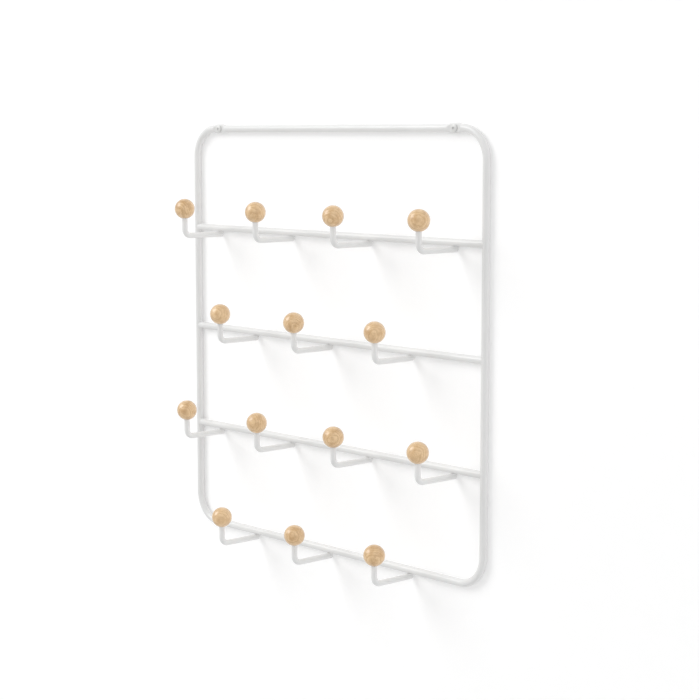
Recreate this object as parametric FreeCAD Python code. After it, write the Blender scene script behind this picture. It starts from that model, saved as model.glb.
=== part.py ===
import FreeCAD, Part
import math
import os

# A wall-mounted coat rack: one bent steel tube makes a square frame, three tubes cross it,
# and fourteen wire hooks, each with a wooden ball glued on its tip, are welded under the bars.
#
# Millimetres. X runs along the wall, -Y points away from the wall and +Z is up.
# The origin is midway between the two wall screws, on the wall plane that the frame's back touches.

Vector = FreeCAD.Vector
X_AXIS = Vector(1, 0, 0)
Y_AXIS = Vector(0, 1, 0)
Z_AXIS = Vector(0, 0, 1)

# Frame and crossbars
TUBE_D = 9.525                # 3/8 inch round steel tube
TUBE_WALL = 1.0
FRAME_WIDTH = 550.0           # between the uprights' centre lines
FRAME_HEIGHT = 550.0          # between the top and bottom bars' centre lines
CORNER_R = 38.0               # centre-line radius of the frame's four bends
ROW_PITCH = 138.0             # from one bar with hooks to the next

# Flattened seats for the wall screws, pressed from the front and the back alike
SCREW_X = 224.0               # each screw's distance from the middle of the rack
FLAT_HEIGHT = 12.5
FLAT_DEPTH = 4.4
FLAT_LENGTH = 12.0
FLAT_BLEND = 7.0              # each end of a seat blends back to the round tube over this length
BLEND_STEPS = 4
OUTLINE_POINTS = 48
BLEND_OVERLAP = 0.3           # how far a seat's ends run into the round tube
BLEND_INSET = 0.02            # and how far below its surface
SCREW_HOLE_D = 5.0

# Hooks
WIRE_D = 7.5
HOOK_REACH = 62.0             # from the bar's centre line to the stem's
HOOK_BEND_R = 9.0             # centre-line radius
HOOK_DROP = 8.1               # from the bar's centre line down to the arm's
HOOK_TAIL = 2.0               # how far the arm runs on past the bar's centre line
TAIL_CHAMFER = 0.4
TENON_D = 5.0
TENON_LENGTH = 14.0
TENON_CHAMFER = 0.6
HOOK_STEP = 150.0             # between neighbouring hooks on one bar

# Wooden balls
BALL_D = 27.0
BALL_RISE = 36.5              # from the arm's centre line up to the ball's centre
BALL_SEAT_D = 8.6             # small flat under the ball that the stem's shoulder meets
BORE_D = 5.1
BORE_DEPTH = 15.0
DRILL_POINT = 1.4

# Wall screws
NECK_D = 3.4                  # plain neck, from the head to the wall plane
THREAD_D = 4.2                # outside diameter of the thread, which starts at the wall plane
SCREW_LENGTH = 38.0           # under the head
SCREW_POINT = 6.0
HEAD_D = 9.5
HEAD_HEIGHT = 2.8
HEAD_RIM = 1.0                # straight part of the head's side
RECESS_SPAN = 4.8             # cross recess, tip to tip
RECESS_SLOT = 1.1
RECESS_DEPTH = 1.7

TUBE_R = TUBE_D / 2
WIRE_R = WIRE_D / 2
BALL_R = BALL_D / 2
BAR_Y = -TUBE_R
STEM_Y = BAR_Y - HOOK_REACH
BOTTOM_Z = -FRAME_HEIGHT
SEAT_HALF = FLAT_LENGTH / 2 + FLAT_BLEND
BALL_SEAT_DROP = math.sqrt(BALL_R ** 2 - (BALL_SEAT_D / 2) ** 2)

# Each crossbar's name, with how many pitches it lies above the bottom bar
CROSSBARS = (("upper", 3), ("middle", 2), ("lower", 1))

# Each row of hooks in the same way, with its number of hooks
HOOK_ROWS = (("upper", 3, 4), ("middle", 2, 3), ("lower", 1, 4), ("bottom", 0, 3))


def row_height(pitches_up):
    """Height of a bar's centre line."""
    return BOTTOM_Z + pitches_up * ROW_PITCH


def hook_places(count):
    """Where the hooks stand along one bar, centred on the rack."""
    first = -HOOK_STEP * (count - 1) / 2
    return [first + HOOK_STEP * i for i in range(count)]


def rod(radius, start, end):
    """Round bar from one point to another."""
    along = end.sub(start)
    return Part.makeCylinder(radius, along.Length, start, along)


def fused(pieces):
    """One clean solid out of pieces that touch or overlap."""
    return pieces[0].multiFuse(pieces[1:]).removeSplitter()


def stadium_point(fraction, straight, radius):
    """Point on an upright stadium outline as (across, up), counted round from the middle of one long side."""
    cap = math.pi * radius
    run = fraction * (4 * straight + 2 * cap)
    if run < straight:
        return radius, run
    run -= straight
    if run < cap:
        return radius * math.cos(run / radius), straight + radius * math.sin(run / radius)
    run -= cap
    if run < 2 * straight:
        return -radius, straight - run
    run -= 2 * straight
    if run < cap:
        return -radius * math.cos(run / radius), -straight - radius * math.sin(run / radius)
    return radius, run - cap - straight


def tube_outline(x, flatness, shrink):
    """Closed outline across the top bar, from round at flatness 0 to fully pressed at flatness 1."""
    half_depth = TUBE_R + flatness * (FLAT_DEPTH / 2 - TUBE_R)
    straight = flatness * (FLAT_HEIGHT - FLAT_DEPTH) / 2
    points = []
    for i in range(OUTLINE_POINTS):
        across, up = stadium_point(i / OUTLINE_POINTS, straight, half_depth - shrink)
        points.append(Vector(x, BAR_Y + across, up))
    curve = Part.BSplineCurve()
    curve.interpolate(Points=points, PeriodicFlag=True)
    return Part.Wire([curve.toShape()])


def seat_blend(x_round, x_flat, shrink):
    """Stretch of the top bar between the round tube and a pressed seat."""
    outward = math.copysign(BLEND_OVERLAP, x_round - x_flat)
    outlines = [tube_outline(x_round + outward, 0, shrink + BLEND_INSET)]
    for i in range(BLEND_STEPS + 1):
        share = i / BLEND_STEPS
        flatness = share * share * (3 - 2 * share)
        inset = BLEND_INSET * (1 - share)
        outlines.append(tube_outline(x_round + share * (x_flat - x_round), flatness, shrink + inset))
    return Part.makeLoft(outlines, True, False)


def pressed_seat(centre_x, shrink):
    """Flattened stretch of the top bar that a wall screw goes through."""
    left = centre_x - FLAT_LENGTH / 2
    right = centre_x + FLAT_LENGTH / 2
    flat = Part.Face(tube_outline(left, 1, shrink)).extrude(Vector(right - left, 0, 0))
    left_blend = seat_blend(left - FLAT_BLEND, left, shrink)
    right_blend = seat_blend(right + FLAT_BLEND, right, shrink)
    return [left_blend, flat, right_blend]


def frame_corner(side, level, radius):
    """Quarter bend of the frame: side is -1 or 1 for left or right, level is -1 or 1 for bottom or top."""
    bend_x = side * (FRAME_WIDTH / 2 - CORNER_R)
    bend_z = BOTTOM_Z / 2 + level * (FRAME_HEIGHT / 2 - CORNER_R)
    section = Part.Wire([Part.makeCircle(radius, Vector(bend_x + side * CORNER_R, BAR_Y, bend_z), Z_AXIS)])
    turn = -side * level * 90
    return Part.Face(section).revolve(Vector(bend_x, BAR_Y, bend_z), Y_AXIS, turn)


def frame_body(shrink):
    """The frame's solid outline, or with the wall's thickness as shrink, the hollow inside it."""
    radius = TUBE_R - shrink
    side_x = FRAME_WIDTH / 2
    bend_x = side_x - CORNER_R
    seat_inner = SCREW_X - SEAT_HALF
    top_z = -CORNER_R
    low_z = BOTTOM_Z + CORNER_R
    pieces = [
        rod(radius, Vector(-seat_inner, BAR_Y, 0), Vector(seat_inner, BAR_Y, 0)),
        rod(radius, Vector(-bend_x, BAR_Y, BOTTOM_Z), Vector(bend_x, BAR_Y, BOTTOM_Z)),
    ]
    for side in (-1, 1):
        pieces.append(rod(radius, Vector(side * side_x, BAR_Y, low_z), Vector(side * side_x, BAR_Y, top_z)))
        pieces.append(frame_corner(side, 1, radius))
        pieces.append(frame_corner(side, -1, radius))
        pieces.extend(pressed_seat(side * SCREW_X, shrink))
    return fused(pieces)


def frame_tube():
    """Square frame: one hollow tube with round corners, two pressed seats and their screw holes."""
    tube = frame_body(0).cut(frame_body(TUBE_WALL))
    for side in (-1, 1):
        hole = rod(SCREW_HOLE_D / 2, Vector(side * SCREW_X, -TUBE_D, 0), Vector(side * SCREW_X, TUBE_D, 0))
        tube = tube.cut(hole)
    return tube


def crossbar(z):
    """Hollow tube across the frame, its ends coped to sit against the round uprights."""
    reach = FRAME_WIDTH / 2
    bar = rod(TUBE_R, Vector(-reach, BAR_Y, z), Vector(reach, BAR_Y, z))
    bar = bar.cut(rod(TUBE_R - TUBE_WALL, Vector(-reach, BAR_Y, z), Vector(reach, BAR_Y, z)))
    for side in (-1, 1):
        upright = rod(TUBE_R, Vector(side * reach, BAR_Y, z - TUBE_D), Vector(side * reach, BAR_Y, z + TUBE_D))
        bar = bar.cut(upright)
    return bar


def chamfered_rod(radius, start, end, chamfer):
    """Round bar with its far end's edge broken."""
    along = end.sub(start)
    along.normalize()
    body_end = end.sub(Vector(along).multiply(chamfer))
    body = rod(radius, start, body_end)
    tip = Part.makeCone(radius, radius - chamfer, chamfer, body_end, along)
    return body.fuse(tip)


def hook(x, bar_z):
    """Bent wire under a bar: a level arm out of the wall, a bend, and a stem with a tenon for the ball."""
    arm_z = bar_z - HOOK_DROP
    ball_z = arm_z + BALL_RISE
    shoulder_z = ball_z - BALL_SEAT_DROP
    bend_y = STEM_Y + HOOK_BEND_R
    bend_z = arm_z + HOOK_BEND_R
    arm = chamfered_rod(WIRE_R, Vector(x, bend_y, arm_z), Vector(x, BAR_Y + HOOK_TAIL, arm_z), TAIL_CHAMFER)
    section = Part.Face(Part.Wire([Part.makeCircle(WIRE_R, Vector(x, bend_y, arm_z), Y_AXIS)]))
    bend = section.revolve(Vector(x, bend_y, bend_z), X_AXIS, -90)
    stem = rod(WIRE_R, Vector(x, STEM_Y, bend_z), Vector(x, STEM_Y, shoulder_z))
    tenon_end = Vector(x, STEM_Y, shoulder_z + TENON_LENGTH)
    tenon = chamfered_rod(TENON_D / 2, Vector(x, STEM_Y, shoulder_z), tenon_end, TENON_CHAMFER)
    wire = fused([arm, bend, stem, tenon])
    bar = rod(TUBE_R, Vector(x - WIRE_D, BAR_Y, bar_z), Vector(x + WIRE_D, BAR_Y, bar_z))
    return wire.cut(bar)


def ball(x, bar_z):
    """Turned wooden ball with a small flat underneath and a blind bore for the hook's tenon."""
    centre = Vector(x, STEM_Y, bar_z - HOOK_DROP + BALL_RISE)
    seat_z = centre.z - BALL_SEAT_DROP
    bore_end = seat_z + BORE_DEPTH
    body = Part.makeSphere(BALL_R, centre)
    below = Part.makeBox(BALL_D, BALL_D, BALL_R, Vector(x - BALL_R, STEM_Y - BALL_R, seat_z - BALL_R))
    bore = rod(BORE_D / 2, Vector(x, STEM_Y, seat_z - BALL_R), Vector(x, STEM_Y, bore_end))
    point = Part.makeCone(BORE_D / 2, 0, DRILL_POINT, Vector(x, STEM_Y, bore_end), Z_AXIS)
    return body.cut(below).cut(bore.fuse(point))


def cross_recess(x, face_y):
    """Tapering cross that a driver fits, sunk into a screw's head."""
    arms = []
    for long_x in (True, False):
        half_x = (RECESS_SPAN if long_x else RECESS_SLOT) / 2
        half_z = (RECESS_SLOT if long_x else RECESS_SPAN) / 2
        outlines = []
        for share, y in ((1.0, face_y), (0.45, face_y + RECESS_DEPTH)):
            corners = [Vector(x + share * sx * half_x, y, share * sz * half_z)
                       for sx, sz in ((-1, -1), (1, -1), (1, 1), (-1, 1), (-1, -1))]
            outlines.append(Part.makePolygon(corners))
        arms.append(Part.makeLoft(outlines, True, True))
    return arms[0].fuse(arms[1])


def wall_screw(x):
    """Pan-head wood screw, driven home through a pressed seat into the wall."""
    seat_y = BAR_Y - FLAT_DEPTH / 2
    rim_y = seat_y - HEAD_RIM
    crown_y = seat_y - HEAD_HEIGHT
    tip_y = seat_y + SCREW_LENGTH
    head_r = HEAD_D / 2
    neck_r = NECK_D / 2
    thread_r = THREAD_D / 2
    rise = HEAD_HEIGHT - HEAD_RIM
    dome_r = (head_r ** 2 + rise ** 2) / (2 * rise)
    dome_centre = crown_y + dome_r
    half_turn = math.asin(head_r / dome_r) / 2
    dome_mid = Vector(x + dome_r * math.sin(half_turn), dome_centre - dome_r * math.cos(half_turn), 0)
    crown = Vector(x, crown_y, 0)
    rim = Vector(x + head_r, rim_y, 0)
    corners = [
        rim,
        Vector(x + head_r, seat_y, 0),
        Vector(x + neck_r, seat_y, 0),
        Vector(x + neck_r, 0, 0),
        Vector(x + thread_r, 0, 0),
        Vector(x + thread_r, tip_y - SCREW_POINT, 0),
        Vector(x, tip_y, 0),
        crown,
    ]
    edges = [Part.Arc(crown, dome_mid, rim).toShape()]
    edges += [Part.LineSegment(a, b).toShape() for a, b in zip(corners, corners[1:])]
    body = Part.Face(Part.Wire(edges)).revolve(Vector(x, 0, 0), Y_AXIS, 360)
    return body.cut(cross_recess(x, crown_y))


def export(name, shape):
    """Write one sub-part, as a single closed solid, under its own name."""
    solids = shape.Solids
    if len(solids) != 1 or not shape.isValid():
        raise RuntimeError(name + " is not one valid solid")
    solids[0].exportStep("parts/" + name + ".step")
    print("%-20s %10.1f mm3" % (name, solids[0].Volume))


def main():
    os.makedirs("parts", exist_ok=True)
    export("frame_tube", frame_tube())
    for name, pitches_up in CROSSBARS:
        export("crossbar_" + name, crossbar(row_height(pitches_up)))
    for name, pitches_up, count in HOOK_ROWS:
        bar_z = row_height(pitches_up)
        for number, x in enumerate(hook_places(count), 1):
            export("hook_%s_%d" % (name, number), hook(x, bar_z))
            export("ball_%s_%d" % (name, number), ball(x, bar_z))
    export("wall_screw_left", wall_screw(-SCREW_X))
    export("wall_screw_right", wall_screw(SCREW_X))


main()
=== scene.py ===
import math
import random

import bmesh
import bpy
from mathutils import Matrix, Vector


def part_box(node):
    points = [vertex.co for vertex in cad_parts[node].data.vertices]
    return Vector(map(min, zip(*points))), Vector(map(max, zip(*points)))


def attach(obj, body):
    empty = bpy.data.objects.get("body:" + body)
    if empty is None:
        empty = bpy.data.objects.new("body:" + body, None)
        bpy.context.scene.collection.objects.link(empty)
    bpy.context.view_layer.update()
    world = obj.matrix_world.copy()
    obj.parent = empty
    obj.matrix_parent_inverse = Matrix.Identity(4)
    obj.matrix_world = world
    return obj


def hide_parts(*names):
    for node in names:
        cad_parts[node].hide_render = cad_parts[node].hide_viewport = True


# Looks for a wall-mounted coat rack. Metres, in the CAD model's own frame: +Z up, -Y out of the wall,
# and the origin midway between the two wall screws on the wall plane.

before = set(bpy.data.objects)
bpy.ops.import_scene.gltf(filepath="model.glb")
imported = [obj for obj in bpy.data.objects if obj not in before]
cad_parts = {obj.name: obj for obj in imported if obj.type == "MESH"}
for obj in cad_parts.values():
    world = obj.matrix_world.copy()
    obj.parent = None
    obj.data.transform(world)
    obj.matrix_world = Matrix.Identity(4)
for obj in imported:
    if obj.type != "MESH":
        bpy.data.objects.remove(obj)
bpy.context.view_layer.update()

MM = 0.001
X_AXIS = Vector((1, 0, 0))
Y_AXIS = Vector((0, 1, 0))
Z_AXIS = Vector((0, 0, 1))

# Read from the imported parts
BAR_LOW, BAR_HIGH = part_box("crossbar_upper")
FRAME_LOW, FRAME_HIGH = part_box("frame_tube")
SCREW_LOW, SCREW_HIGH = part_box("wall_screw_right")
TUBE_R = (BAR_HIGH.y - BAR_LOW.y) / 2
BAR_Y = (BAR_HIGH.y + BAR_LOW.y) / 2
SIDE_X = FRAME_HIGH.x - TUBE_R
BOTTOM_Z = FRAME_LOW.z + TUBE_R
SCREW_X = (SCREW_LOW.x + SCREW_HIGH.x) / 2
ROWS = (("upper", 4), ("middle", 3), ("lower", 4), ("bottom", 3))
CROSSBARS = ("upper", "middle", "lower")

# Frame, crossbars, hooks and balls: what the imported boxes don't give
CORNER_R = 38.0 * MM
SEAT_FLAT = 6.0 * MM          # half the length of a pressed seat's flat
SEAT_BLEND = 7.0 * MM
SEAT_DEPTH = 4.4 * MM
SCREW_HOLE_R = 2.5 * MM
CROSSBAR_BITE = 0.2 * MM      # how far a crossbar's ends reach into the uprights
HOOK_BEND_R = 9.0 * MM
TAIL_ROUND = 0.5 * MM
STEM_INTO_BALL = 0.3 * MM
BALL_SOFTEN = 0.35 * MM       # rounding round the flat under a ball
BALL_FLAT_RINGS = (0.3, 0.6, 0.9)
BALL_LAST_TURN = math.pi - 0.05
BALL_CROWN_TURN = math.pi - 0.02

# Wall screws
HEAD_HEIGHT = 2.8 * MM
HEAD_RIM = 1.0 * MM
HEAD_CHAMFER = 0.38 * MM
HEAD_EDGE = 0.05 * MM
HEAD_SEAT_RINGS = (0.3, 0.7, 0.90)
DOME_START = 0.985            # share of the dome's turn at its first ring
DOME_END = 0.02               # turn of its last ring, in radians from the middle
RECESS_REACH = 2.4 * MM       # half the length of an arm of the cross
RECESS_HALF = 0.55 * MM       # half the width of an arm
RECESS_DEPTH = 1.7 * MM
RECESS_MOUTH = 1.12           # share of those two sizes at the cutter's front
RECESS_FLOOR = 0.45           # and at the bottom of the recess
CUTTER_CLEAR = 0.3 * MM       # how far the cutter stands out of the head
NECK_R = 1.7 * MM
NECK_INTO_HEAD = 0.2 * MM
CORE_R = 1.5 * MM
POINT_LENGTH = 5 * MM
POINT_TAPER = 1.5 * MM        # how far from its tip the point is half as thick as the core
POINT_R = 0.08 * MM
THREAD_R = 2.1 * MM
THREAD_FOOT = 0.85 * CORE_R   # the ridge starts inside the core
THREAD_PITCH = 1.8 * MM
THREAD_HALF = 0.42 * THREAD_PITCH
THREAD_CREST = 0.05 * MM      # half the width of the ridge's crest
THREAD_START = 0.6 * MM
THREAD_END_GAP = 3.5 * MM
THREAD_RUN_OUT = 12           # the ridge rises and falls within a twelfth of its length at each end

# Weld beads. A spread is the most that a random draw adds, and a ripple is a share of the thickness.
JOINT_BEAD_LEAST = 0.08 * MM  # thickness in front of and behind a crossbar's end
JOINT_BEAD_GAIN = 0.95 * MM   # what it gains over and under it
JOINT_BEAD_SINK = 0.12        # share of the thickness by which the bead sinks into the corner
JOINT_RIPPLE = 0.05
JOINT_RIPPLES = 9
HOOK_BEAD_LEAN = math.radians(40)
HOOK_BEAD_HALF = 3.5 * MM     # half of a bead's length
HOOK_BEAD_HALF_SPREAD = 0.4 * MM
HOOK_BEAD_THICK = 1.45 * MM
HOOK_BEAD_THICK_SPREAD = 0.15 * MM
HOOK_BEAD_LIFT = 0.1 * MM
HOOK_BEAD_SAG = 0.6 * MM
HOOK_BEAD_END = 0.998         # share of that half at which the bead's blunt end lies
HOOK_RIPPLE = 0.04
HOOK_RIPPLES = 14

# Fineness of the meshes
AROUND_TUBE = 64
AROUND_WIRE = 48
AROUND_BALL = 72
AROUND_SCREW = 64
AROUND_BEAD = 18
TOP_BAR_STEPS = 14
SEAT_STEPS = 41
STRAIGHT_STEPS = 22
BEND_STEPS = 24
CROSSBAR_STEPS = 26
JOINT_STEPS = 72
TAIL_STEPS = 5
ARM_STEPS = 14
STEM_STEPS = 6
BEAD_STEPS = 29
BALL_STEPS = 44
DOME_STEPS = 18
THREAD_STEPS = 40             # in one turn of the thread
SHARP_ANGLE = math.radians(40)

# Wood
EARLY_WOOD = (0.890, 0.630, 0.350, 1)
LATE_WOOD = (0.500, 0.275, 0.105, 1)
PALE_STREAK = (0.890, 0.640, 0.360, 1)
DARK_BLOTCH = (0.560, 0.325, 0.132, 1)
BROWN_FLECK = (0.370, 0.190, 0.075, 1)
BROWN_FIBRE = (0.460, 0.260, 0.115, 1)
PALE_BOARD = (0.880, 0.620, 0.350, 1)
RING_WIDTH = 2.6 * MM
RING_WANDER = 6.0 * MM
PITH_NEAREST = 30 * MM
PITH_FARTHEST = 80 * MM
FROM_PITH_X = 0.45            # each ball's growth rings follow one another out of the wall and rightwards,
FROM_PITH_Y = -0.85           # so that its front shows their flat-sawn figure
FROM_PITH_SPREAD = 0.5
GRAIN_LENGTH = 2              # length of the stock that the balls are spread along
RANDOM_SEED = 14

# Powder coat, enamel and steel
COAT_DULL = (0.785, 0.785, 0.78, 1)
COAT_BRIGHT = (0.83, 0.83, 0.825, 1)
COAT_SPECK = (0.66, 0.66, 0.65, 1)
ENAMEL = (0.80, 0.80, 0.79, 1)
ENAMEL_CHIP = (0.55, 0.55, 0.54, 1)
# painted shade: dark ring where the head's rim meets its seat
RIM_CREVICE_SHADE = (0.30, 0.30, 0.295, 1)
# recess colour: bare metal worn by the driver, and painted shade in the recess
RECESS_BARE_AND_SHADE = (0.58, 0.58, 0.573, 1)
STEEL_DULL = (0.50, 0.50, 0.48, 1)
STEEL_BRIGHT = (0.70, 0.69, 0.66, 1)

# Stage
WHITE = (1, 1, 1, 1)
WALL_Y = 0.3 * MM
WALL_HALF = 2.6
WALL_TOP = 1.6
WALL_WHITENESS = 0.8725
WALL_GLOW = 0.195
FLOOR_Z = -1.5
FLOOR_HALF = 6
FLOOR_WHITENESS = 0.70
PAINT_SPREAD = 0.0125         # how far the paint strays from its whiteness

# Room light: the side that it comes from, and its strength
ROOM_LIGHT = (((0, 0, 1), 0.215), ((-1, 0, 0), 0.50), ((1, 0, 0), 1.06),
              ((0, -1, 0), 0.405), ((0, 1, 0), 0.56))
KEY_PLACE = (-5.31, -6.08, 5.30)
KEY_POWER = 430.0
KEY_SIZE = 6.7

# Camera. Its angles are in degrees.
CAMERA_PLACE = (1.7036, -1.5360, -0.0083)
CAMERA_TILT = 90 - 6.901
CAMERA_TURN = 47.396
CAMERA_LENS = 91.35
CAMERA_SENSOR = 36.0


# ---------------------------------------------------------------- mesh helpers

def steps(start, end, count):
    """Evenly spaced values from start to end, both included."""
    return [start + (end - start) * i / (count - 1) for i in range(count)]


def circle_ring(centre, across, up, radius, count):
    """Points of a circle round a centre, in the plane of two unit vectors."""
    ring = []
    for i in range(count):
        turn = math.tau * i / count
        ring.append(centre + across * (radius * math.cos(turn)) + up * (radius * math.sin(turn)))
    return ring


def ring_mesh(rings, closed=False):
    """Skin over a row of rings of points. An open row gets a flat cap at each end."""
    count = len(rings[0])
    points = [point for ring in rings for point in ring]
    faces = []
    spans = len(rings) if closed else len(rings) - 1
    for i in range(spans):
        here = i * count
        there = (i + 1) % len(rings) * count
        for k in range(count):
            after = (k + 1) % count
            faces.append((here + k, here + after, there + after, there + k))
    if not closed:
        faces.append(tuple(reversed(range(count))))
        faces.append(tuple(range(len(points) - count, len(points))))
    return points, faces


def add_shapes(shapes):
    """One list of points and faces out of several."""
    points, faces = [], []
    for more_points, more_faces in shapes:
        start = len(points)
        points += more_points
        faces += [tuple(start + i for i in face) for face in more_faces]
    return points, faces


def outward_normals(mesh):
    """Turn every face of a closed mesh outwards."""
    work = bmesh.new()
    work.from_mesh(mesh)
    bmesh.ops.recalc_face_normals(work, faces=work.faces)
    work.to_mesh(mesh)
    work.free()


def link_mesh(name, shape):
    """Object in the scene, made from a list of points and faces."""
    mesh = bpy.data.meshes.new(name)
    mesh.from_pydata([tuple(point) for point in shape[0]], [], shape[1])
    mesh.validate()
    outward_normals(mesh)
    linked = bpy.data.objects.new(name, mesh)
    bpy.context.scene.collection.objects.link(linked)
    return linked


def make_piece(name, shape, material, replaced=()):
    """Mesh object that rides on the rack's one body."""
    piece = link_mesh(name, shape)
    piece.data.materials.append(material)
    piece.data.shade_smooth()
    piece.data.set_sharp_from_angle(angle=SHARP_ANGLE)
    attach(piece, "root")
    if replaced:
        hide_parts(*replaced)
    return piece


def cut_away(piece, cutter_shapes):
    """Boolean difference, applied, so that the piece keeps a plain mesh."""
    cutters = []
    for shape in cutter_shapes:
        cutter = link_mesh("cutter", shape)
        change = piece.modifiers.new("cut", "BOOLEAN")
        change.operation = "DIFFERENCE"
        change.solver = "EXACT"
        change.object = cutter
        cutters.append(cutter)
    graph = bpy.context.evaluated_depsgraph_get()
    result = bpy.data.meshes.new_from_object(piece.evaluated_get(graph))
    piece.modifiers.clear()
    piece.data = result
    result.set_sharp_from_angle(angle=SHARP_ANGLE)
    for cutter in cutters:
        bpy.data.objects.remove(cutter)


# ---------------------------------------------------------------- frame and crossbars

def stadium_point(fraction, straight, radius):
    """Point on an upright stadium as (across, up), counted round from the middle of one long side."""
    cap = math.pi * radius
    run = fraction * (4 * straight + 2 * cap)
    if run < straight:
        return radius, run
    run -= straight
    if run < cap:
        return radius * math.cos(run / radius), straight + radius * math.sin(run / radius)
    run -= cap
    if run < 2 * straight:
        return -radius, straight - run
    run -= 2 * straight
    if run < cap:
        return -radius * math.cos(run / radius), -straight - radius * math.sin(run / radius)
    return radius, run - cap - straight


def seat_flatness(x):
    """How far the top bar is pressed at x: 0 where it is round, 1 across a screw's seat."""
    away = abs(abs(x) - SCREW_X) - SEAT_FLAT
    share = min(1.0, max(0.0, 1.0 - away / SEAT_BLEND))
    return share * share * (3 - 2 * share)


def tube_section(centre, outward, flatness):
    """Ring round the frame's tube. A pressed section is centred on the tube's line."""
    half_height = FRAME_HIGH.z    # the seats are the frame's highest part, and the top bar's line is z = 0
    half_depth = TUBE_R + flatness * (SEAT_DEPTH / 2 - TUBE_R)
    straight = flatness * (half_height - SEAT_DEPTH / 2)
    ring = []
    for i in range(AROUND_TUBE):
        across, up = stadium_point(i / AROUND_TUBE, straight, half_depth)
        ring.append(Vector((centre.x, BAR_Y + across, centre.z)) + outward * up)
    return ring


def top_bar_rings():
    """Rings along the top bar from left to right, closer together at the two seats."""
    bend_x = SIDE_X - CORNER_R
    reach = SEAT_FLAT + SEAT_BLEND
    clear = reach + 2 * MM
    run = steps(-bend_x, bend_x, TOP_BAR_STEPS)[1:-1]
    places = [x for x in run if abs(abs(x) - SCREW_X) > clear]
    places += [side * SCREW_X + step for side in (-1, 1) for step in steps(-reach, reach, SEAT_STEPS)]
    return [tube_section(X_AXIS * x, Z_AXIS, seat_flatness(x)) for x in sorted(places)]


def frame_rings():
    """Rings once round the frame, clockwise from the top left."""
    bend_x = SIDE_X - CORNER_R
    low_bend_z = BOTTOM_Z + CORNER_R
    corners = ((bend_x, -CORNER_R, 90), (bend_x, low_bend_z, 0),
               (-bend_x, low_bend_z, -90), (-bend_x, -CORNER_R, 180))
    side_run = steps(-CORNER_R, low_bend_z, STRAIGHT_STEPS)[1:-1]
    bottom_run = steps(bend_x, -bend_x, STRAIGHT_STEPS)[1:-1]
    runs = ([(SIDE_X, z) for z in side_run], [(x, BOTTOM_Z) for x in bottom_run],
            [(-SIDE_X, z) for z in reversed(side_run)], [])
    run_outwards = (X_AXIS, -Z_AXIS, -X_AXIS, Z_AXIS)
    rings = top_bar_rings()
    for (x, z, first), run, run_outward in zip(corners, runs, run_outwards):
        for turn in steps(first, first - 90, BEND_STEPS):
            outward = Vector((math.cos(math.radians(turn)), 0, math.sin(math.radians(turn))))
            centre = Vector((x, 0, z)) + outward * CORNER_R
            rings.append(tube_section(centre, outward, 0))
        rings += [tube_section(Vector((x, 0, z)), run_outward, 0) for x, z in run]
    return rings


def build_frame(material):
    """The bent frame with its two pressed and drilled seats."""
    shape = ring_mesh(frame_rings(), closed=True)
    piece = make_piece("frame_tube_skin", shape, material, ("frame_tube",))
    holes = []
    for side in (-1, 1):
        ends = [Vector((side * SCREW_X, y, 0)) for y in (-3 * TUBE_R, TUBE_R)]
        rings = [circle_ring(end, X_AXIS, Z_AXIS, SCREW_HOLE_R, AROUND_WIRE) for end in ends]
        holes.append(ring_mesh(rings))
    cut_away(piece, holes)


def bar_height(name):
    """Height of a crossbar's centre line."""
    low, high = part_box("crossbar_" + name)
    return (low.z + high.z) / 2


def build_crossbar(name, material):
    """Tube across the frame whose ends follow the round uprights that they are welded to."""
    z = bar_height(name)
    rings = []
    for x in steps(-SIDE_X, SIDE_X, CROSSBAR_STEPS):
        ring = []
        for i in range(AROUND_TUBE):
            turn = math.tau * i / AROUND_TUBE
            reach = SIDE_X - TUBE_R * abs(math.sin(turn)) + CROSSBAR_BITE
            along = max(-reach, min(reach, x))
            ring.append(Vector((along, BAR_Y + TUBE_R * math.cos(turn), z + TUBE_R * math.sin(turn))))
        rings.append(ring)
    shape = ring_mesh(rings)
    make_piece("crossbar_%s_tube" % name, shape, material, ("crossbar_" + name,))


def build_joint_welds(name, material, rng):
    """Weld bead round each end of a crossbar, thickest over and under it, where the tubes meet squarely."""
    z = bar_height(name)
    shapes = []
    for side in (-1, 1):
        phase = rng.random() * math.tau
        rings = []
        for i in range(JOINT_STEPS):
            turn = math.tau * i / JOINT_STEPS
            square = abs(math.sin(turn))
            outward = Vector((0, math.cos(turn), math.sin(turn)))
            corner = Vector((side * (SIDE_X - TUBE_R * square), BAR_Y, z)) + outward * TUBE_R
            ripple = 1 + JOINT_RIPPLE * math.sin(phase + JOINT_RIPPLES * turn)
            thick = (JOINT_BEAD_LEAST + JOINT_BEAD_GAIN * square ** 0.8) * ripple
            centre = corner - (outward - X_AXIS * side) * (JOINT_BEAD_SINK * thick)
            rings.append(circle_ring(centre, X_AXIS, outward, thick, AROUND_BEAD))
        shapes.append(ring_mesh(rings, closed=True))
    make_piece("weld_crossbar_" + name, add_shapes(shapes), material)


# ---------------------------------------------------------------- hooks

def hook_stations(low, high, seat_z):
    """Centre points and headings along a hook's wire, from its tail to under the ball."""
    radius = (high.x - low.x) / 2
    x = (low.x + high.x) / 2
    arm_z = low.z + radius
    stem_y = low.y + radius
    bend_y = stem_y + HOOK_BEND_R
    bend_z = arm_z + HOOK_BEND_R
    arm_run = steps(high.y - TAIL_ROUND, bend_y, ARM_STEPS)[:-1]
    stations = [(Vector((x, y, arm_z)), 0.0) for y in arm_run]
    for turn in steps(0.0, math.pi / 2, BEND_STEPS):
        y = bend_y - HOOK_BEND_R * math.sin(turn)
        z = bend_z - HOOK_BEND_R * math.cos(turn)
        stations.append((Vector((x, y, z)), turn))
    stem_run = steps(bend_z, seat_z, STEM_STEPS)[1:]
    stations += [(Vector((x, stem_y, z)), math.pi / 2) for z in stem_run]
    return stations, radius


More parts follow.
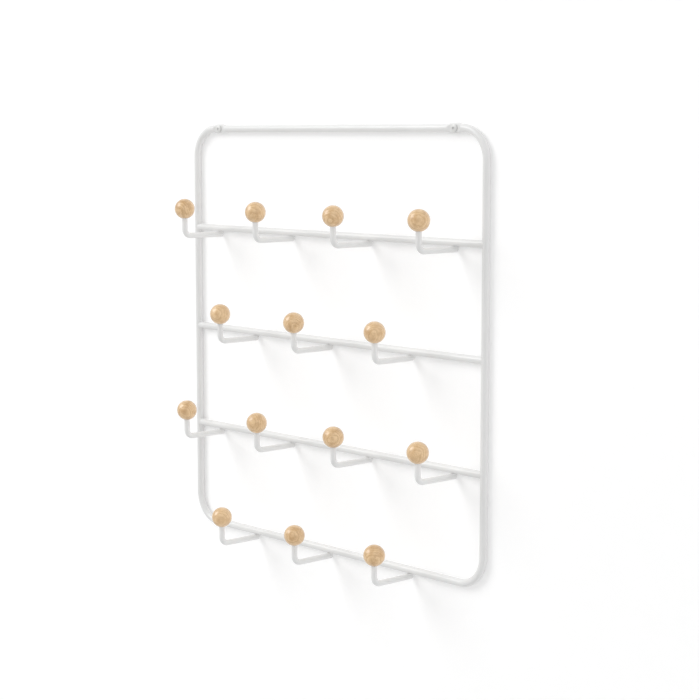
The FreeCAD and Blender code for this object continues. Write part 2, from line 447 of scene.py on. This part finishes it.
def build_hook(name, material):
    """Bent wire: a rounded tail under the bar, a level arm, a bend and a stem."""
    low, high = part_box("hook_" + name)
    seat_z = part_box("ball_" + name)[0].z + STEM_INTO_BALL
    stations, radius = hook_stations(low, high, seat_z)
    tail = stations[0][0]
    rings = []
    for turn in steps(0.0, math.pi / 2, TAIL_STEPS)[:-1]:
        centre = tail + Y_AXIS * (TAIL_ROUND * math.cos(turn))
        tail_r = radius - TAIL_ROUND * (1 - math.sin(turn))
        rings.append(circle_ring(centre, X_AXIS, Z_AXIS, tail_r, AROUND_WIRE))
    for centre, turn in stations:
        up = Vector((0, math.sin(turn), math.cos(turn)))
        rings.append(circle_ring(centre, X_AXIS, up, radius, AROUND_WIRE))
    make_piece("hook_%s_wire" % name, ring_mesh(rings), material, ("hook_" + name,))


def build_hook_weld(name, material, rng):
    """Two weld beads that fill the crevices between a hook's arm and the bar over it."""
    low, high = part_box("hook_" + name)
    radius = (high.x - low.x) / 2
    x = (low.x + high.x) / 2
    arm_z = low.z + radius
    shapes = []
    for side in (-1, 1):
        half = HOOK_BEAD_HALF + HOOK_BEAD_HALF_SPREAD * rng.random()
        thick = HOOK_BEAD_THICK + HOOK_BEAD_THICK_SPREAD * rng.random()
        phase = rng.random() * math.tau
        rings = []
        for share in steps(-HOOK_BEAD_END, HOOK_BEAD_END, BEAD_STEPS):
            ripple = 1 + HOOK_RIPPLE * math.sin(phase + HOOK_RIPPLES * share)
            swell = math.sqrt(1 - share ** 2) * ripple
            out = radius + HOOK_BEAD_LIFT - HOOK_BEAD_SAG * share ** 2
            across = side * out * math.sin(HOOK_BEAD_LEAN)
            up = out * math.cos(HOOK_BEAD_LEAN)
            centre = Vector((x + across, BAR_Y + share * half, arm_z + up))
            rings.append(circle_ring(centre, X_AXIS, Z_AXIS, thick * swell, AROUND_BEAD))
        shapes.append(ring_mesh(rings))
    make_piece("weld_" + name, add_shapes(shapes), material)


# ---------------------------------------------------------------- balls

def ball_profile(radius, drop):
    """Half outline of a ball as (out, up) from its centre, from the flat underneath to the top."""
    flat_r = math.sqrt(radius ** 2 - drop ** 2)
    first = math.asin(flat_r / radius) + BALL_SOFTEN / radius
    turns = steps(first, BALL_LAST_TURN, BALL_STEPS) + [BALL_CROWN_TURN]
    profile = [(flat_r * share, -drop) for share in BALL_FLAT_RINGS]
    return profile + [(radius * math.sin(turn), -radius * math.cos(turn)) for turn in turns]


def store_grain(mesh, centre, rng):
    """Give each vertex of a ball its place in the wood that the ball was turned from."""
    tilt_x = rng.uniform(-FROM_PITH_SPREAD, FROM_PITH_SPREAD)
    tilt_z = rng.uniform(-FROM_PITH_SPREAD, FROM_PITH_SPREAD)
    facing = Vector((FROM_PITH_X + tilt_x, FROM_PITH_Y, tilt_z)).normalized()
    along = Matrix.Rotation(rng.uniform(0, math.tau), 3, facing) @ facing.orthogonal().normalized()
    tangent = along.cross(facing)
    from_pith = rng.uniform(PITH_NEAREST, PITH_FARTHEST)
    down_grain = rng.uniform(0, GRAIN_LENGTH)
    grain = mesh.attributes.new("grain", "FLOAT_VECTOR", "POINT")
    for vertex, value in zip(mesh.vertices, grain.data):
        away = vertex.co - centre
        value.vector = (away.dot(facing) + from_pith, away.dot(tangent), away.dot(along) + down_grain)


def build_ball(name, material, rng):
    """Turned ball with a small flat underneath."""
    low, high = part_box("ball_" + name)
    radius = (high.x - low.x) / 2
    centre = Vector(((low.x + high.x) / 2, (low.y + high.y) / 2, high.z - radius))
    rings = []
    for out, up in ball_profile(radius, centre.z - low.z):
        rings.append(circle_ring(centre + Z_AXIS * up, X_AXIS, Y_AXIS, out, AROUND_BALL))
    piece = make_piece("ball_%s_wood" % name, ring_mesh(rings), material, ("ball_" + name,))
    store_grain(piece.data, centre, rng)


# ---------------------------------------------------------------- wall screws

def screw_ring(x, y, radius):
    """Circle round a screw's axis."""
    return circle_ring(Vector((x, y, 0)), X_AXIS, Z_AXIS, radius, AROUND_SCREW)


def dome_radius(head_r):
    """Radius of the sphere that the front of a head is part of."""
    rise = HEAD_HEIGHT - HEAD_RIM
    return (head_r ** 2 + rise ** 2) / (2 * rise)


def cross_cutter(x, face_y):
    """Tapering cross that a driver fits."""
    shapes = []
    for reach_x, reach_z in ((RECESS_REACH, RECESS_HALF), (RECESS_HALF, RECESS_REACH)):
        rings = []
        for share, y in ((RECESS_MOUTH, face_y - CUTTER_CLEAR), (RECESS_FLOOR, face_y + RECESS_DEPTH)):
            half_x = reach_x * share
            half_z = reach_z * share
            corners = ((-1, -1), (1, -1), (1, 1), (-1, 1))
            rings.append([Vector((x + sx * half_x, y, sz * half_z)) for sx, sz in corners])
        shapes.append(ring_mesh(rings))
    return shapes


def thread_shape(x, start_y, end_y):
    """Screw thread: a ridge wound along the shank, running out at both ends."""
    count = int(abs(end_y - start_y) / THREAD_PITCH * THREAD_STEPS)
    rings = []
    for i in range(count + 1):
        share = i / count
        y = start_y + (end_y - start_y) * share
        turn = math.tau * (y - start_y) / THREAD_PITCH
        rise = min(1.0, THREAD_RUN_OUT * share, THREAD_RUN_OUT * (1 - share))
        outward = Vector((math.cos(turn), 0, math.sin(turn)))
        centre = Vector((x, y, 0))
        crest = CORE_R + (THREAD_R - CORE_R) * rise
        half = THREAD_HALF * rise + THREAD_CREST
        outline = ((THREAD_FOOT, -half), (crest, -THREAD_CREST), (crest, THREAD_CREST), (THREAD_FOOT, half))
        rings.append([centre + outward * out + Y_AXIS * on for out, on in outline])
    return ring_mesh(rings)


def build_screw(side, enamel, steel):
    """Pan-head screw: an enamelled head with a cross recess, and a plated shank with a wood thread."""
    name = "wall_screw_right" if side > 0 else "wall_screw_left"
    low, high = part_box(name)
    x = (low.x + high.x) / 2
    head_r = (high.x - low.x) / 2
    crown_y = low.y
    tip_y = high.y
    seat_y = crown_y + HEAD_HEIGHT
    rim_y = seat_y - HEAD_RIM
    dome_r = dome_radius(head_r)
    half_turn = math.asin(head_r / dome_r)
    rings = [screw_ring(x, seat_y, share * head_r) for share in HEAD_SEAT_RINGS]
    rings.append(screw_ring(x, seat_y - HEAD_CHAMFER, head_r))
    rings.append(screw_ring(x, rim_y + HEAD_EDGE, head_r))
    for turn in steps(half_turn * DOME_START, DOME_END, DOME_STEPS):
        rings.append(screw_ring(x, crown_y + dome_r * (1 - math.cos(turn)), dome_r * math.sin(turn)))
    head = make_piece(name + "_head", ring_mesh(rings), enamel, (name,))
    cut_away(head, cross_cutter(x, crown_y))
    outline = ((seat_y - NECK_INTO_HEAD, NECK_R), (0.0, NECK_R), (THREAD_START, CORE_R),
               (tip_y - POINT_LENGTH, CORE_R), (tip_y - POINT_TAPER, CORE_R * 0.5), (tip_y, POINT_R))
    shank = ring_mesh([screw_ring(x, y, radius) for y, radius in outline])
    thread = thread_shape(x, THREAD_START, tip_y - THREAD_END_GAP)
    make_piece(name + "_shank", add_shapes([shank, thread]), steel)


# ---------------------------------------------------------------- materials

class Shader:
    """Short way to write the nodes of a material or of the world."""

    def __init__(self, owner):
        owner.use_nodes = True
        self.owner = owner
        self.tree = owner.node_tree
        self.tree.nodes.clear()

    def add(self, kind, inputs=None, **settings):
        """Make a node. An input that is a socket is linked, and any other value is set."""
        made = self.tree.nodes.new(kind)
        for key, value in settings.items():
            setattr(made, key, value)
        for key, value in (inputs or {}).items():
            socket = made.inputs[key]
            if isinstance(value, bpy.types.NodeSocket):
                self.tree.links.new(value, socket)
            else:
                socket.default_value = value
        return made

    def coords(self):
        """Object coordinates, which are metres in the CAD frame."""
        return self.add("ShaderNodeTexCoord").outputs["Object"]

    def maths(self, operation, first, second=0.0):
        return self.add("ShaderNodeMath", {0: first, 1: second}, operation=operation).outputs[0]

    def vector(self, operation, first, second):
        return self.add("ShaderNodeVectorMath", {0: first, 1: second}, operation=operation).outputs[0]

    def length(self, vector):
        return self.add("ShaderNodeVectorMath", {0: vector}, operation="LENGTH").outputs["Value"]

    def noise(self, coords, scale, detail=2.0, roughness=0.5):
        inputs = {"Vector": coords, "Scale": scale, "Detail": detail, "Roughness": roughness}
        return self.add("ShaderNodeTexNoise", inputs).outputs["Fac"]

    def stretched_noise(self, coords, scales, detail=2.0, roughness=0.5):
        """Noise with a scale of its own along each axis."""
        return self.noise(self.vector("MULTIPLY", coords, scales), 1.0, detail, roughness)

    def spread(self, value, low, high, from_low, from_high):
        """Move a value to the range low to high from another range, and clamp it."""
        inputs = {"Value": value, "From Min": from_low, "From Max": from_high, "To Min": low, "To Max": high}
        return self.add("ShaderNodeMapRange", inputs).outputs["Result"]

    def blend(self, share, first, second):
        """Mix two colours. The node's colour sockets come after its number and vector sockets."""
        return self.add("ShaderNodeMix", {0: share, 6: first, 7: second}, data_type="RGBA").outputs[2]

    def bump(self, height, distance, strength, normal=None):
        inputs = {"Height": height, "Distance": distance, "Strength": strength}
        if normal is not None:
            inputs["Normal"] = normal
        return self.add("ShaderNodeBump", inputs).outputs["Normal"]

    def surface(self, inputs):
        shader = self.add("ShaderNodeBsdfPrincipled", inputs)
        self.add("ShaderNodeOutputMaterial", {"Surface": shader.outputs[0]})
        return self.owner


def powder_coat():
    """Satin white powder coat: a faint orange peel, with slightly uneven gloss and whiteness."""
    make = Shader(bpy.data.materials.new("powder_coat"))
    coords = make.coords()
    cloud = make.noise(coords, 9.0, 3.0)
    mottle = make.noise(coords, 260.0, 3.0, 0.6)
    tone = make.blend(make.spread(cloud, 0.0, 1.0, 0.3, 0.7), COAT_DULL, COAT_BRIGHT)
    specks = make.spread(make.noise(coords, 2400.0, 1.0), 0.0, 1.0, 0.70, 0.78)
    tone = make.blend(make.maths("MULTIPLY", specks, 0.10), tone, COAT_SPECK)
    peel = make.noise(coords, 620.0, 2.0, 0.45)
    grit = make.noise(coords, 3200.0, 2.0, 0.5)
    normal = make.bump(peel, 0.035 * MM, 0.5)
    normal = make.bump(grit, 0.008 * MM, 0.4, normal)
    return make.surface({"Base Color": tone, "Roughness": make.spread(mottle, 0.34, 0.46, 0.3, 0.7),
                         "Normal": normal, "Coat Weight": 0.40, "Coat Roughness": 0.14})


def wandering_place(make, place):
    """Places in the wood, shifted across the grain so that the growth rings wander."""
    shift = make.add("ShaderNodeTexNoise", {"Vector": place, "Scale": 75.0, "Detail": 2.0}).outputs["Color"]
    shift = make.vector("SUBTRACT", shift, (0.5, 0.5, 0.5))
    shift = make.vector("MULTIPLY", shift, (RING_WANDER, RING_WANDER, 0.0))
    return make.vector("ADD", place, shift)


def beech():
    """Light wood under satin lacquer: growth rings, streaks along the grain, and short brown flecks."""
    make = Shader(bpy.data.materials.new("beech_lacquered"))
    place = make.add("ShaderNodeAttribute", attribute_name="grain").outputs["Vector"]
    bent = wandering_place(make, place)
    from_pith = make.length(make.vector("MULTIPLY", bent, (1.0, 1.0, 0.0)))
    ring = make.maths("FRACT", make.maths("DIVIDE", from_pith, RING_WIDTH))
    late = make.maths("MULTIPLY", make.maths("POWER", ring, 1.5), make.spread(ring, 1.0, 0.0, 0.84, 1.0))
    streak = make.stretched_noise(bent, (1000.0, 1000.0, 90.0), 2.0, 0.6)
    fleck = make.stretched_noise(bent, (2300.0, 2000.0, 300.0), 1.0, 0.5)
    fleck = make.spread(fleck, 0.0, 1.0, 0.57, 0.70)
    fibre = make.stretched_noise(place, (3000.0, 3000.0, 240.0), 2.0, 0.6)
    blotch = make.noise(place, 130.0, 2.0, 0.5)
    board = make.noise(place, 9.0, 1.0)
    tone = make.blend(make.maths("MULTIPLY", late, 0.80), EARLY_WOOD, LATE_WOOD)
    tone = make.blend(make.spread(streak, 0.0, 0.55, 0.44, 0.66), tone, PALE_STREAK)
    tone = make.blend(make.spread(blotch, 0.0, 0.66, 0.42, 0.66), tone, DARK_BLOTCH)
    tone = make.blend(make.maths("MULTIPLY", fleck, 0.52), tone, BROWN_FLECK)
    tone = make.blend(make.spread(fibre, 0.0, 0.30, 0.45, 0.75), tone, BROWN_FIBRE)
    tone = make.blend(make.spread(board, 0.0, 0.28, 0.35, 0.65), tone, PALE_BOARD)
    height = make.maths("SUBTRACT", make.maths("MULTIPLY", fibre, 0.5), make.maths("MULTIPLY", fleck, 0.5))
    normal = make.bump(height, 0.02 * MM, 0.5)
    return make.surface({"Base Color": tone, "Roughness": make.spread(streak, 0.36, 0.50, 0.3, 0.7),
                         "Normal": normal, "Coat Weight": 1.0, "Coat Roughness": 0.20})


def screw_enamel():
    """White enamel on the screws' heads. The recess is darker: bare metal worn by the driver, and painted
    shade.
    A ring of painted shade darkens the back of the rim next to the seat, and the enamel is greyer in a few
    rubbed spots."""
    make = Shader(bpy.data.materials.new("screw_enamel"))
    coords = make.coords()
    parts = make.add("ShaderNodeSeparateXYZ", {0: coords}).outputs
    across = make.maths("SUBTRACT", make.maths("ABSOLUTE", parts["X"]), SCREW_X)
    out = make.length(make.add("ShaderNodeCombineXYZ", {"X": across, "Z": parts["Z"]}).outputs[0])
    head_r = (SCREW_HIGH.x - SCREW_LOW.x) / 2
    rim_y = SCREW_LOW.y + HEAD_HEIGHT - HEAD_RIM
    bulge = make.maths("DIVIDE", make.maths("MULTIPLY", out, out), 2 * dome_radius(head_r))
    depth = make.maths("SUBTRACT", make.maths("SUBTRACT", parts["Y"], SCREW_LOW.y), bulge)
    # painted shade in the recess, partly bare metal worn by the driver: deep in the head and near its axis
    inside = make.maths("MULTIPLY", make.spread(depth, 0.0, 1.0, 0.05 * MM, 0.45 * MM),
                        make.spread(out, 1.0, 0.0, 2.9 * MM, 3.1 * MM))
    # painted shade: a ragged dark ring over the back of the rim and under the head, next to the seat
    ragged = make.maths("MULTIPLY", make.noise(coords, 1400.0, 2.0), 0.3 * MM)
    rim_shade = make.maths("ADD", parts["Y"], ragged)
    rim_shade = make.spread(rim_shade, 0.0, 1.0, rim_y + 0.15 * MM, rim_y + 0.55 * MM)
    chips = make.spread(make.noise(coords, 900.0, 3.0, 0.7), 0.0, 1.0, 0.68, 0.72)
    tone = make.blend(chips, ENAMEL, ENAMEL_CHIP)
    tone = make.blend(make.maths("MULTIPLY", rim_shade, 0.9), tone, RIM_CREVICE_SHADE)
    tone = make.blend(inside, tone, RECESS_BARE_AND_SHADE)
    rough = make.spread(make.noise(coords, 500.0), 0.30, 0.45, 0.3, 0.7)
    normal = make.bump(make.noise(coords, 1500.0), 0.02 * MM, 0.5)
    return make.surface({"Base Color": tone, "Roughness": rough, "Normal": normal, "Coat Weight": 0.2})


def plated_steel():
    """Zinc-plated screw steel with fine marks along the thread."""
    make = Shader(bpy.data.materials.new("plated_steel"))
    coords = make.coords()
    tone = make.blend(make.noise(coords, 300.0, 3.0), STEEL_DULL, STEEL_BRIGHT)
    marks = make.stretched_noise(coords, (900.0, 6000.0, 900.0))
    rough = make.spread(marks, 0.24, 0.42, 0.3, 0.7)
    return make.surface({"Base Color": tone, "Metallic": 1.0, "Roughness": rough,
                         "Normal": make.bump(marks, 0.01 * MM, 0.4)})


# ---------------------------------------------------------------- stage, lights and camera

def paint(name, whiteness, glow, one_sided):
    """Pale matt paint for the stage. A one-sided plane lets light and sight through from behind."""
    make = Shader(bpy.data.materials.new(name))
    coords = make.coords()
    dull = (whiteness - PAINT_SPREAD,) * 3 + (1,)
    bright = (whiteness + PAINT_SPREAD,) * 3 + (1,)
    tone = make.blend(make.noise(coords, 3.0, 3.0), dull, bright)
    normal = make.bump(make.noise(coords, 500.0, 3.0), 0.03 * MM, 0.3)
    shader = make.add("ShaderNodeBsdfPrincipled", {
        "Base Color": tone, "Roughness": 0.9, "Normal": normal, "Specular IOR Level": 0.1,
        "Emission Color": WHITE, "Emission Strength": glow})
    surface = shader.outputs[0]
    if one_sided:
        behind = make.add("ShaderNodeNewGeometry").outputs["Backfacing"]
        clear = make.add("ShaderNodeBsdfTransparent").outputs[0]
        surface = make.add("ShaderNodeMixShader", {0: behind, 1: surface, 2: clear}).outputs[0]
    make.add("ShaderNodeOutputMaterial", {"Surface": surface})
    return make.owner


def stage_plane(name, corners, material):
    """One flat four-cornered plane of the stage."""
    mesh = bpy.data.meshes.new(name)
    mesh.from_pydata(corners, [], [(0, 1, 2, 3)])
    mesh.materials.append(material)
    plane = bpy.data.objects.new(name, mesh)
    bpy.context.scene.collection.objects.link(plane)


def build_stage():
    """White wall just behind the rack and a pale floor below it."""
    square = ((-1, -1), (1, -1), (1, 1), (-1, 1))
    heights = (FLOOR_Z, FLOOR_Z, WALL_TOP, WALL_TOP)
    wall = [(x * WALL_HALF, WALL_Y, height) for (x, _), height in zip(square, heights)]
    floor = [(x * FLOOR_HALF, y * FLOOR_HALF, FLOOR_Z) for x, y in square]
    stage_plane("wall", wall, paint("wall_paint", WALL_WHITENESS, WALL_GLOW, True))
    stage_plane("floor", floor, paint("floor_paint", FLOOR_WHITENESS, 0.0, False))


def build_room_light():
    """Soft light from each side of the room, strongest straight from that side."""
    make = Shader(bpy.data.worlds.new("studio"))
    heading = make.add("ShaderNodeTexCoord").outputs["Generated"]
    total = 0.0
    for towards, strength in ROOM_LIGHT:
        pull = [strength * part for part in towards]
        facing = make.add("ShaderNodeVectorMath", {0: heading, 1: pull}, operation="DOT_PRODUCT")
        lobe = make.maths("MAXIMUM", facing.outputs["Value"])
        total = make.maths("ADD", total, lobe)
    background = make.add("ShaderNodeBackground", {"Color": WHITE, "Strength": total})
    make.add("ShaderNodeOutputWorld", {"Surface": background.outputs[0]})
    bpy.context.scene.world = make.owner


def build_key_light():
    """Broad lamp high on the left, aimed at the middle of the rack."""
    data = bpy.data.lights.new("key", "AREA")
    data.shape = "DISK"
    data.size = KEY_SIZE
    data.energy = KEY_POWER
    light = bpy.data.objects.new("key", data)
    light.location = KEY_PLACE
    light.rotation_mode = "QUATERNION"
    middle = Vector((0, BAR_Y, BOTTOM_Z / 2))
    light.rotation_quaternion = (middle - Vector(KEY_PLACE)).to_track_quat("-Z", "Y")
    bpy.context.scene.collection.objects.link(light)


def build_camera():
    """View from the right, at the height of the top bar, turned towards the rack and a little down."""
    data = bpy.data.cameras.new("camera")
    data.lens = CAMERA_LENS
    data.sensor_width = CAMERA_SENSOR
    camera = bpy.data.objects.new("camera", data)
    camera.location = CAMERA_PLACE
    camera.rotation_euler = (math.radians(CAMERA_TILT), 0, math.radians(CAMERA_TURN))
    bpy.context.scene.collection.objects.link(camera)
    bpy.context.scene.camera = camera


def main():
    rng = random.Random(RANDOM_SEED)
    white = powder_coat()
    wood = beech()
    build_frame(white)
    for name in CROSSBARS:
        build_crossbar(name, white)
        build_joint_welds(name, white, rng)
    for row, count in ROWS:
        for number in range(1, count + 1):
            name = "%s_%d" % (row, number)
            build_hook(name, white)
            build_hook_weld(name, white, rng)
            build_ball(name, wood, rng)
    enamel = screw_enamel()
    steel = plated_steel()
    for side in (-1, 1):
        build_screw(side, enamel, steel)
    build_stage()
    build_room_light()
    build_key_light()
    build_camera()
    bpy.context.scene.view_settings.view_transform = "Standard"


main()
